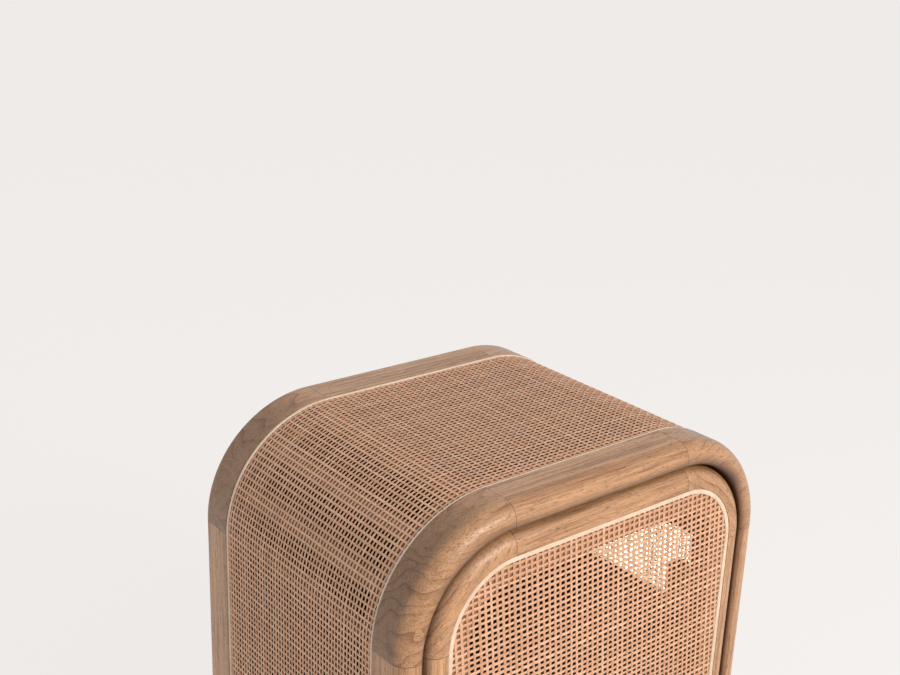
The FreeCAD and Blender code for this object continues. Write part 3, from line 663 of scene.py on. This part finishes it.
def make_seam_group():
    """Thin dark glue lines where rails, stiles and corner blocks meet."""
    tree, given, out = new_group("glue_line", {"Place": "Vector"}, {"Mask": "Float"})
    x, y, z = split_place(tree, given["Place"])
    wavy = calculate(
        tree, "SUBTRACT", noise(tree, given["Place"], SEAM_WAVE_SCALE), NOISE_MIDDLE)
    wavy = calculate(tree, "MULTIPLY", wavy, SEAM_WAVE)
    aside = calculate(tree, "SUBTRACT", calculate(tree, "ABSOLUTE", x), ARC_X)
    above = calculate(tree, "SUBTRACT", z, HIGH_Z)
    below = calculate(tree, "SUBTRACT", z, LOW_Z)
    nearest = None
    for distance in (aside, above, below):
        distance = calculate(tree, "ABSOLUTE", calculate(tree, "ADD", distance, wavy))
        nearest = distance if nearest is None else calculate(tree, "MINIMUM", nearest, distance)
    mask = calculate(tree, "DIVIDE", nearest, SEAM_WIDTH)
    join(tree, between(tree, mask, *SEAM_FADE, 1.0, 0.0), out["Mask"])
    return tree


def rim_place(tree, x, z):
    """How far a point lies outside the rectangle through the arcs' centres, and how far beside it."""
    level = calculate(tree, "ABSOLUTE", calculate(tree, "SUBTRACT", z, MIDDLE_Z))
    above = calculate(tree, "MAXIMUM", calculate(tree, "SUBTRACT", level, HALF_STILE), 0.0)
    aside = calculate(tree, "SUBTRACT", calculate(tree, "ABSOLUTE", x), ARC_X)
    aside = calculate(tree, "MAXIMUM", aside, 0.0)
    rim = calculate(tree, "SQRT", calculate(
        tree, "MULTIPLY_ADD", aside, aside, calculate(tree, "MULTIPLY", above, above)))
    return rim, aside


def make_valley_painted_shade_group():
    """Painted shade in the valley between the front frame and the door, deepest beside the stiles,
    which thins out towards the inside. Early is how much nearer to the front it starts along the
    rails."""
    tree, given, out = new_group(
        "painted_valley_shade", {"Place": "Vector", "Early": "Float"}, {"Mask": "Float"})
    x, y, z = split_place(tree, given["Place"])
    rim, aside = rim_place(tree, x, z)
    from_gap = calculate(tree, "ABSOLUTE", calculate(tree, "SUBTRACT", rim, GAP_RIM))
    near = between(tree, from_gap, *VALLEY_REACH, 1.0, 0.0)
    sideways = calculate(tree, "DIVIDE", aside, rim)
    early = between(tree, sideways, *EARLY_FADE, 1.0, 0.0)
    early = calculate(tree, "MULTIPLY", given["Early"], early)
    depth = calculate(tree, "ADD", y, early)
    deep = between(tree, depth, DOOR_FACE_Y, DOOR_FACE_Y + VALLEY_DEPTH)
    thin_start, thin_end = (DOOR_FACE_Y + step for step in VALLEY_THINNING)
    thinned = between(tree, y, thin_start, thin_end, 1.0, VALLEY_INSIDE_SHARE)
    deep = calculate(tree, "MULTIPLY", deep, thinned)
    beside = between(tree, sideways, *VALLEY_CHANGE, *VALLEY_SHARES)
    mask = calculate(tree, "MULTIPLY", calculate(tree, "MULTIPLY", near, deep), beside)
    join(tree, mask, out["Mask"])
    return tree


def make_ledge_group():
    """Bare wood on the ledge that the door's cane is glued to."""
    tree, given, out = new_group("glued_ledge", {"Place": "Vector"}, {"Mask": "Float"})
    x, y, z = split_place(tree, given["Place"])
    rim = rim_place(tree, x, z)[0]
    behind = calculate(tree, "ABSOLUTE", calculate(tree, "SUBTRACT", y, DOOR_CANE_HIGH.y))
    level = between(tree, behind, *LEDGE_BAND, 1.0, 0.0)
    inside = between(tree, rim, DOOR_CANE_RADIUS, DOOR_CANE_RADIUS + LEDGE_SOFTNESS, 1.0, 0.0)
    join(tree, calculate(tree, "MULTIPLY", level, inside), out["Mask"])
    return tree


def make_outer_darkening_group():
    """Darker outer sides of the frames' corner blocks, behind the rounded front."""
    tree, given, out = new_group("outer_darkening", {"Place": "Vector"}, {"Mask": "Float"})
    x, y, z = split_place(tree, given["Place"])
    aside = calculate(tree, "SUBTRACT", calculate(tree, "ABSOLUTE", x), ARC_X)
    behind = between(tree, y, *(FRAME_FACE_Y + step for step in OUTER_DARKENING_START))
    mask = calculate(tree, "MULTIPLY", between(tree, aside, 0.0, OUTER_DARKENING_REACH), behind)
    join(tree, mask, out["Mask"])
    return tree


grain_group = make_grain_group()
seam_group = make_seam_group()
valley_painted_shade_group = make_valley_painted_shade_group()
ledge_group = make_ledge_group()
outer_darkening_group = make_outer_darkening_group()


# Finishes

FRAME_PALE = (0.70, 0.375, 0.185)
FRAME_DARK = (0.33, 0.145, 0.060)
# Growth layers in a metre, then the strength of their lines, of streaks and of speckle
PLANK_FIGURE = (210.0, 1.15, 1.0, 0.15)
CORNER_FIGURE = (80.0, 1.5, 0.45, 0.40)
PLANK_SHIFTS = (-3, 3)
PLANK_TINTS = (0.92, 1.08)
PLANK_SEED = 5
SEAM_COLOUR = (0.085, 0.042, 0.022)
SEAM_SHARE = 0.85
SEAM_DEPTH = 3.0
OUTER_DARKENING_COLOUR = (0.0, 0.0, 0.0)
CORNER_OUTER_DARKENING = 0.45
# Painted valley shade is darker on the frame, where it also starts nearer to the front, by this many
# metres
FRAME_VALLEY_PAINTED_SHADE = (0.055, 0.014, 0.003)
FRAME_VALLEY_SHADE_EARLY = 0.004
# Painted shade in the valley on the door, and how strong it is there
DOOR_VALLEY_PAINTED_SHADE = (0.075, 0.038, 0.020)
DOOR_VALLEY_SHADE_SHARE = 0.5
LEDGE_COLOUR = (0.38, 0.195, 0.11)
# Pale and dark colours of the inner wood and of the stained boards
INNER_WOOD = ((0.50, 0.32, 0.19), (0.30, 0.18, 0.10))
STAINED_WOOD = ((0.055, 0.030, 0.018), (0.025, 0.013, 0.008))
CANE_DARK = (0.64, 0.32, 0.175)
CANE_PALE = (1.0, 0.595, 0.385)
CANE_PATCH = (0.74, 0.385, 0.215)
# Colour of the flecks, and of the painted shade along the strands' borders
CANE_FLECK_AND_BORDER_SHADE = (0.25, 0.125, 0.06)
# Noise of the cane: how often it repeats in a metre along a strand, and in a strand's width
CANE_FIBRE_SCALE = (30, 9, 1)
CANE_PATCH_SCALE = (22, 0.4, 1)
CANE_FLECK_SCALE = (190, 2.2, 1)
CANE_FIBRE_STEP = (0.25, 0.75, 0.82, 1.10)
CANE_PATCH_STEP = (0.40, 0.64, 0.0, 0.7)
CANE_FLECK_STEP = (0.66, 0.74, 0.0, 0.55)
CANE_BORDER_SHADE_STEP = (0.34, 0.50, 0.0, 0.15)
CANE_ROUGHNESS_STEP = (0.3, 0.7, 0.42, 0.58)
CANE_CROWN_HEIGHT = 2.4
CANE_FIBRE_HEIGHT = 0.2
REED_PALE = (0.95, 0.78, 0.62)
REED_DARK = (0.80, 0.60, 0.44)
REED_PATCH = (0.80, 0.58, 0.41)
REED_FIBRE_SCALE = (60, 1600, 60)
REED_FIBRE_STEP = (0.3, 0.7)
REED_PATCH_SCALE = 45.0
REED_PATCH_STEP = (0.40, 0.70, 0.0, 0.45)
SHEET_PALE = (0.31, 0.19, 0.12)
SHEET_DARK = (0.275, 0.165, 0.10)
SHEET_CLOUD_SCALE = 30.0
SHEET_CLOUD_STEP = (0.35, 0.65)
# Worn spots of metal show this share of its colour, and scratches vary its roughness by this much
WORN_SHARE = 0.72
WORN_SCALE = 120.0
WORN_STEP = (0.35, 0.7)
SCRATCH_SCALE = (400, 2600, 120)
SCRATCH_STEP = (0.3, 0.7)
SCRATCH_ROUGHNESS = (-0.06, 0.08)


def frame_wood(name, spin, turn, shift, layers, lines, streaks, speckle, tint, outer_darkening, is_door):
    """Lacquered hardwood. Spin and then turn lay the grain along the piece, shift gives it its own
    figure, outer_darkening is how much darker its outer side is, and a door's wood has less painted
    shade in the valley and a bare ledge."""
    material, tree, shader = new_material(name)
    place = object_place(tree)
    spun = scaled(tree, place, (1, 1, 1), spin)
    grain = place_group(
        tree, grain_group, place=scaled(tree, spun, (1, 1, 1), turn, shift),
        pale=tuple(value * tint for value in FRAME_PALE),
        dark=tuple(value * tint for value in FRAME_DARK),
        layers=layers, lines=lines, streaks=streaks, pores=1.0, speckle=speckle)
    seam = place_group(tree, seam_group, place=place)["Mask"]
    seam_share = calculate(tree, "MULTIPLY", seam, SEAM_SHARE)
    colour = mix_colours(tree, seam_share, grain["Colour"], SEAM_COLOUR)
    # The outer sides of the corner blocks are darker, behind the rounded front
    if outer_darkening > 0:
        outer_dark_share = place_group(tree, outer_darkening_group, place=place)["Mask"]
        outer_dark_share = calculate(tree, "MULTIPLY", outer_dark_share, outer_darkening)
        colour = mix_colours(tree, outer_dark_share, colour, OUTER_DARKENING_COLOUR)
    if is_door:
        # Painted shade in the valley between frame and door, weaker and lighter on the door
        valley = place_group(tree, valley_painted_shade_group, place=place)["Mask"]
        valley = calculate(tree, "MULTIPLY", valley, DOOR_VALLEY_SHADE_SHARE)
        colour = mix_colours(tree, valley, colour, DOOR_VALLEY_PAINTED_SHADE)
        ledge = place_group(tree, ledge_group, place=place)["Mask"]
        colour = mix_colours(tree, ledge, colour, LEDGE_COLOUR)
    else:
        # Painted shade in the valley, darker on the frame and starting nearer to its front
        valley = place_group(tree, valley_painted_shade_group, place=place, early=FRAME_VALLEY_SHADE_EARLY)["Mask"]
        colour = mix_colours(tree, valley, colour, FRAME_VALLEY_PAINTED_SHADE)
    join(tree, colour, shader.inputs["Base Color"])
    join(tree, grain["Roughness"], shader.inputs["Roughness"])
    height = calculate(tree, "MULTIPLY", seam, SEAM_DEPTH)
    height = calculate(tree, "SUBTRACT", grain["Height"], height)
    join(tree, bump(tree, height, strength=0.35, distance=0.00025), shader.inputs["Normal"])
    shader.inputs["Coat Weight"].default_value = 0.25
    shader.inputs["Coat Roughness"].default_value = 0.30
    return material


def plain_wood(name, pale, dark, turn, shift):
    """Unpolished or stained wood of the inner pieces."""
    material, tree, shader = new_material(name)
    place = scaled(tree, object_place(tree), (1, 1, 1), turn, shift)
    grain = place_group(tree, grain_group, place=place, pale=pale, dark=dark,
                        layers=150.0, lines=0.6, streaks=1.0, pores=0.8)
    join(tree, grain["Colour"], shader.inputs["Base Color"])
    shader.inputs["Roughness"].default_value = 0.6
    relief = bump(tree, grain["Height"], strength=0.3, distance=0.0002)
    join(tree, relief, shader.inputs["Normal"])
    return material


def make_cane_material():
    """Peeled cane: each strand has its own tone, fine fibres, painted shade along its borders and a
    few flecks.
    """
    material, tree, shader = new_material("woven_cane")
    strand = add_node(tree, "ShaderNodeUVMap", uv_map="Strand").outputs["UV"]
    tone = add_node(tree, "ShaderNodeAttribute", attribute_name="tone").outputs["Fac"]
    # Along a strand places are in metres, and across it from -0.5 to 0.5
    fibre = stretched_noise(tree, strand, CANE_FIBRE_SCALE, detail=3.0, roughness=0.6)
    patch = stretched_noise(tree, strand, CANE_PATCH_SCALE)
    fleck = stretched_noise(tree, strand, CANE_FLECK_SCALE)
    colour = mix_colours(tree, tone, CANE_DARK, CANE_PALE)
    patch_share = between(tree, patch, *CANE_PATCH_STEP)
    colour = mix_colours(tree, patch_share, colour, CANE_PATCH)
    fine = between(tree, fibre, *CANE_FIBRE_STEP)
    colour = mix_colours(tree, 1.0, colour, fine, "MULTIPLY")
    fleck_share = between(tree, fleck, *CANE_FLECK_STEP)
    colour = mix_colours(tree, fleck_share, colour, CANE_FLECK_AND_BORDER_SHADE)
    side = split_place(tree, strand)[1]
    # Painted shade along each strand's borders, where its rounded edges turn away from the light
    painted_border_shade = between(tree, calculate(tree, "ABSOLUTE", side), *CANE_BORDER_SHADE_STEP)
    colour = mix_colours(tree, painted_border_shade, colour, CANE_FLECK_AND_BORDER_SHADE)
    join(tree, colour, shader.inputs["Base Color"])
    join(tree, between(tree, fibre, *CANE_ROUGHNESS_STEP), shader.inputs["Roughness"])
    # Strands are crowned: highest in the middle and 0 at both borders
    crown = calculate(tree, "SUBTRACT", 0.5 ** 2, calculate(tree, "MULTIPLY", side, side))
    height = calculate(tree, "MULTIPLY_ADD", crown, CANE_CROWN_HEIGHT,
                       calculate(tree, "MULTIPLY", fibre, CANE_FIBRE_HEIGHT))
    join(tree, bump(tree, height, strength=0.4, distance=0.0006), shader.inputs["Normal"])
    return material


def make_reed_material():
    """Pale split reed with fine fibres along it."""
    material, tree, shader = new_material("split_reed")
    place = object_place(tree)
    fibre = stretched_noise(tree, place, REED_FIBRE_SCALE, detail=3.0, roughness=0.6)
    patch = noise(tree, place, REED_PATCH_SCALE, detail=3.0)
    colour = mix_colours(tree, between(tree, fibre, *REED_FIBRE_STEP), REED_PALE, REED_DARK)
    patch_share = between(tree, patch, *REED_PATCH_STEP)
    colour = mix_colours(tree, patch_share, colour, REED_PATCH)
    join(tree, colour, shader.inputs["Base Color"])
    shader.inputs["Roughness"].default_value = 0.5
    join(tree, bump(tree, fibre, strength=0.3, distance=0.0002), shader.inputs["Normal"])
    return material


def make_lining_material():
    """Thin tan frosted sheet: light from behind shines through it without showing what is there."""
    material, tree, shader = new_material("frosted_sheet")
    cloud = noise(tree, object_place(tree), SHEET_CLOUD_SCALE, detail=3.0)
    colour = mix_colours(tree, between(tree, cloud, *SHEET_CLOUD_STEP), SHEET_PALE, SHEET_DARK)
    join(tree, colour, shader.inputs["Base Color"])
    shader.inputs["Roughness"].default_value = 0.5
    shader.inputs["IOR"].default_value = 1.2
    shader.inputs["Transmission Weight"].default_value = 0.9
    return material


def make_metal(name, colour, metallic, rough):
    """Worn metal or moulded plastic with fine surface variation."""
    material, tree, shader = new_material(name)
    place = object_place(tree)
    cloud = noise(tree, place, WORN_SCALE, detail=3.0)
    scratch = stretched_noise(tree, place, SCRATCH_SCALE)
    dim = tuple(value * WORN_SHARE for value in colour)
    worn = mix_colours(tree, between(tree, cloud, *WORN_STEP), colour, dim)
    join(tree, worn, shader.inputs["Base Color"])
    uneven = between(tree, scratch, *SCRATCH_STEP, *(rough + step for step in SCRATCH_ROUGHNESS))
    join(tree, uneven, shader.inputs["Roughness"])
    shader.inputs["Metallic"].default_value = metallic
    join(tree, bump(tree, scratch, strength=0.08, distance=0.0001), shader.inputs["Normal"])
    return material


cane_material = make_cane_material()

# How each kind of frame piece lies in its plank, in degrees: a spin about its length, and then the
# turn that lays it along X
NO_SPIN = (0, 0, 0)
GRAIN_TURNS = {
    "top_rail": ((35, 0, 0), (0, 0, 1)),
    "bottom_rail": ((-30, 0, 0), (0, 0, -1)),
    "left_stile": ((0, 0, 35), (0, 91, 0)),
    "right_stile": ((0, 0, -35), (0, 89, 0)),
    "corner": (NO_SPIN, (12, 6, 0)),
}
DOOR_CORNER_TURNS = {
    "corner_top_left": (NO_SPIN, (0, 45, 0)),
    "corner_top_right": (NO_SPIN, (0, -45, 0)),
    "corner_bottom_left": (NO_SPIN, (0, -45, 0)),
    "corner_bottom_right": (NO_SPIN, (0, 45, 0)),
}


def dress_frames():
    """Each rail, stile and block is its own plank."""
    draw = np.random.default_rng(PLANK_SEED)
    for ring in ("front", "rear", "door"):
        for kind in ("top_rail", "bottom_rail", "left_stile", "right_stile", "corner_top_left",
                     "corner_top_right", "corner_bottom_left", "corner_bottom_right"):
            node = f"{ring}_{kind}"
            is_door = ring == "door"
            is_corner = kind.startswith("corner")
            turn = GRAIN_TURNS["corner" if is_corner else kind]
            if is_door and is_corner:
                turn = DOOR_CORNER_TURNS[kind]
            shift = tuple(draw.uniform(*PLANK_SHIFTS, 3))
            tint = draw.uniform(*PLANK_TINTS)
            figure = CORNER_FIGURE if is_corner else PLANK_FIGURE
            outer_darkening = CORNER_OUTER_DARKENING if is_corner and not is_door else 0.0
            wood = frame_wood(f"{node}_wood", *turn, shift, *figure, tint, outer_darkening, is_door)
            dress(NODES[node], wood)


def dress_inner_pieces():
    """Finishes of all other pieces, by the material slots of the record, and the screws."""
    finishes = {
        "inner_wood": plain_wood("inner_wood", *INNER_WOOD, turn=(0, 0, 90), shift=(0, 0, 0)),
        "panel_wood": plain_wood("stained_board", *STAINED_WOOD, turn=(0, 0, 0), shift=(1, 2, 0)),
        "reed": make_reed_material(),
        "lining_sheet": make_lining_material(),
        "hinge_brass": make_metal("aged_brass", (0.46, 0.32, 0.13), metallic=1.0, rough=0.36),
        "strike_steel": make_metal("zinc_steel", (0.55, 0.55, 0.54), metallic=1.0, rough=0.34),
        "latch_plastic": make_metal("dark_plastic", (0.035, 0.03, 0.028), metallic=0.0, rough=0.5),
        "plunger_plastic": make_metal("grey_plastic", (0.12, 0.115, 0.11), metallic=0.0, rough=0.45),
        "glide_plastic": make_metal("brown_plastic", (0.16, 0.11, 0.08), metallic=0.0, rough=0.5),
    }
    for part in frame["record"]["subparts"]:
        if part["material_slot"] in finishes:
            dress(NODES[part["node"]], finishes[part["material_slot"]])
    make_hinge_screws(finishes["hinge_brass"])
    make_latch_screws(finishes["strike_steel"])
    make_back_screws(finishes["strike_steel"])


# Stage, light and camera

FLOOR_SIZE = 30.0
BACKDROP = (0.855, 0.823, 0.799)
# The floor shows this share of an even colour of its own, and the rest as it is lit
EVEN_SHARE = 0.775
EVEN_FLOOR = (1.0, 0.960, 0.930)
WORLD_COLOUR = (0.90, 0.95, 1.0)
WORLD_STRENGTH = 0.48
WINDOW_SPREAD = math.radians(70)


def shown_rays(tree):
    """1 for rays that show the stage directly, in a mirror or through glass."""
    rays = add_node(tree, "ShaderNodeLightPath").outputs
    seen = calculate(tree, "MAXIMUM", rays["Is Camera Ray"], rays["Is Transmission Ray"])
    return calculate(tree, "MAXIMUM", seen, rays["Is Glossy Ray"])


def make_floor():
    """A plain pale floor that keeps the object's shadow."""
    deselect_all()
    bpy.ops.mesh.primitive_plane_add(size=FLOOR_SIZE, location=(0, 0, 0))
    floor = bpy.context.object
    floor.name = "floor"
    material, tree, shader = new_material("pale_floor")
    shader.inputs["Base Color"].default_value = BACKDROP + (1.0,)
    shader.inputs["Roughness"].default_value = 0.9
    shader.inputs["Specular IOR Level"].default_value = 0.0
    even = add_node(tree, "ShaderNodeEmission")
    even.inputs["Color"].default_value = EVEN_FLOOR + (1.0,)
    mix = add_node(tree, "ShaderNodeMixShader")
    join(tree, calculate(tree, "MULTIPLY", shown_rays(tree), EVEN_SHARE), mix.inputs[0])
    join(tree, shader.outputs[0], mix.inputs[1])
    join(tree, even.outputs[0], mix.inputs[2])
    join(tree, mix.outputs[0], tree.nodes["Material Output"].inputs["Surface"])
    dress(floor, material)


def make_world():
    """Soft light from all sides, in front of an even backdrop."""
    world = bpy.data.worlds.new("studio")
    bpy.context.scene.world = world
    world.use_nodes = True
    tree = world.node_tree
    light = tree.nodes["Background"]
    light.inputs["Color"].default_value = WORLD_COLOUR + (1.0,)
    light.inputs["Strength"].default_value = WORLD_STRENGTH
    seen = add_node(tree, "ShaderNodeBackground")
    seen.inputs["Color"].default_value = BACKDROP + (1.0,)
    seen.inputs["Strength"].default_value = 1.0
    mix = add_node(tree, "ShaderNodeMixShader")
    join(tree, shown_rays(tree), mix.inputs[0])
    join(tree, light.outputs[0], mix.inputs[1])
    join(tree, seen.outputs[0], mix.inputs[2])
    join(tree, mix.outputs[0], tree.nodes["World Output"].inputs["Surface"])


def make_lamp(name, place, target, size, power, colour):
    data = bpy.data.lights.new(name, "AREA")
    data.shape = "RECTANGLE"
    data.size, data.size_y = size
    data.energy = power
    data.color = colour
    lamp = bpy.data.objects.new(name, data)
    bpy.context.scene.collection.objects.link(lamp)
    lamp.location = place
    lamp.rotation_euler = (Vector(target) - Vector(place)).to_track_quat("-Z", "Y").to_euler()
    lamp.visible_camera = False
    return lamp


def make_lamps():
    make_lamp("front_key", place=(0.5, -2.4, 1.7), target=(0, 0, 0.4), size=(1.2, 0.9),
              power=47, colour=(1.0, 0.94, 0.86))
    make_lamp("left_fill", place=(-2.5, 0.2, 0.8), target=(-0.2, 0, 0.4), size=(1.6, 1.2),
              power=3, colour=(1.0, 0.96, 0.92))
    # Daylight behind the right side, which only shines through its frosted sheet
    window = make_lamp("low_window", place=(0.42, 0.15, 0.206), target=(0.2336, -0.012, 0.337),
                       size=(0.34, 0.17), power=1.2, colour=(0.53, 0.78, 1.0))
    window.data.spread = WINDOW_SPREAD
    window.visible_diffuse = False
    window.visible_glossy = False


def make_camera():
    """The photograph's camera: yaw turns it from +Y to the right, pitch down, and roll about its
    own line of sight."""
    yaw = math.radians(CAMERA_YAW)
    pitch = math.radians(CAMERA_PITCH)
    roll = math.radians(CAMERA_ROLL)
    data = bpy.data.cameras.new("camera")
    data.sensor_width = SENSOR_WIDTH
    data.lens = FOCAL_PIXELS / PICTURE_WIDTH * SENSOR_WIDTH
    camera = bpy.data.objects.new("camera", data)
    bpy.context.scene.collection.objects.link(camera)
    forward = Vector((
        math.sin(yaw) * math.cos(pitch), math.cos(yaw) * math.cos(pitch), -math.sin(pitch)))
    right = Vector((math.cos(yaw), -math.sin(yaw), 0))
    up = right.cross(forward)
    turned_right = right * math.cos(roll) + up * math.sin(roll)
    turned_up = up * math.cos(roll) - right * math.sin(roll)
    matrix = camera.matrix_world.copy()
    for row in range(3):
        matrix[row][0] = turned_right[row]
        matrix[row][1] = turned_up[row]
        matrix[row][2] = -forward[row]
        matrix[row][3] = CAMERA_PLACE[row]
    camera.matrix_world = matrix
    bpy.context.scene.camera = camera


weave_wrap()
weave_door()
dress_frames()
dress_inner_pieces()
make_floor()
make_world()
make_lamps()
make_camera()
bpy.context.scene.view_settings.view_transform = "Standard"
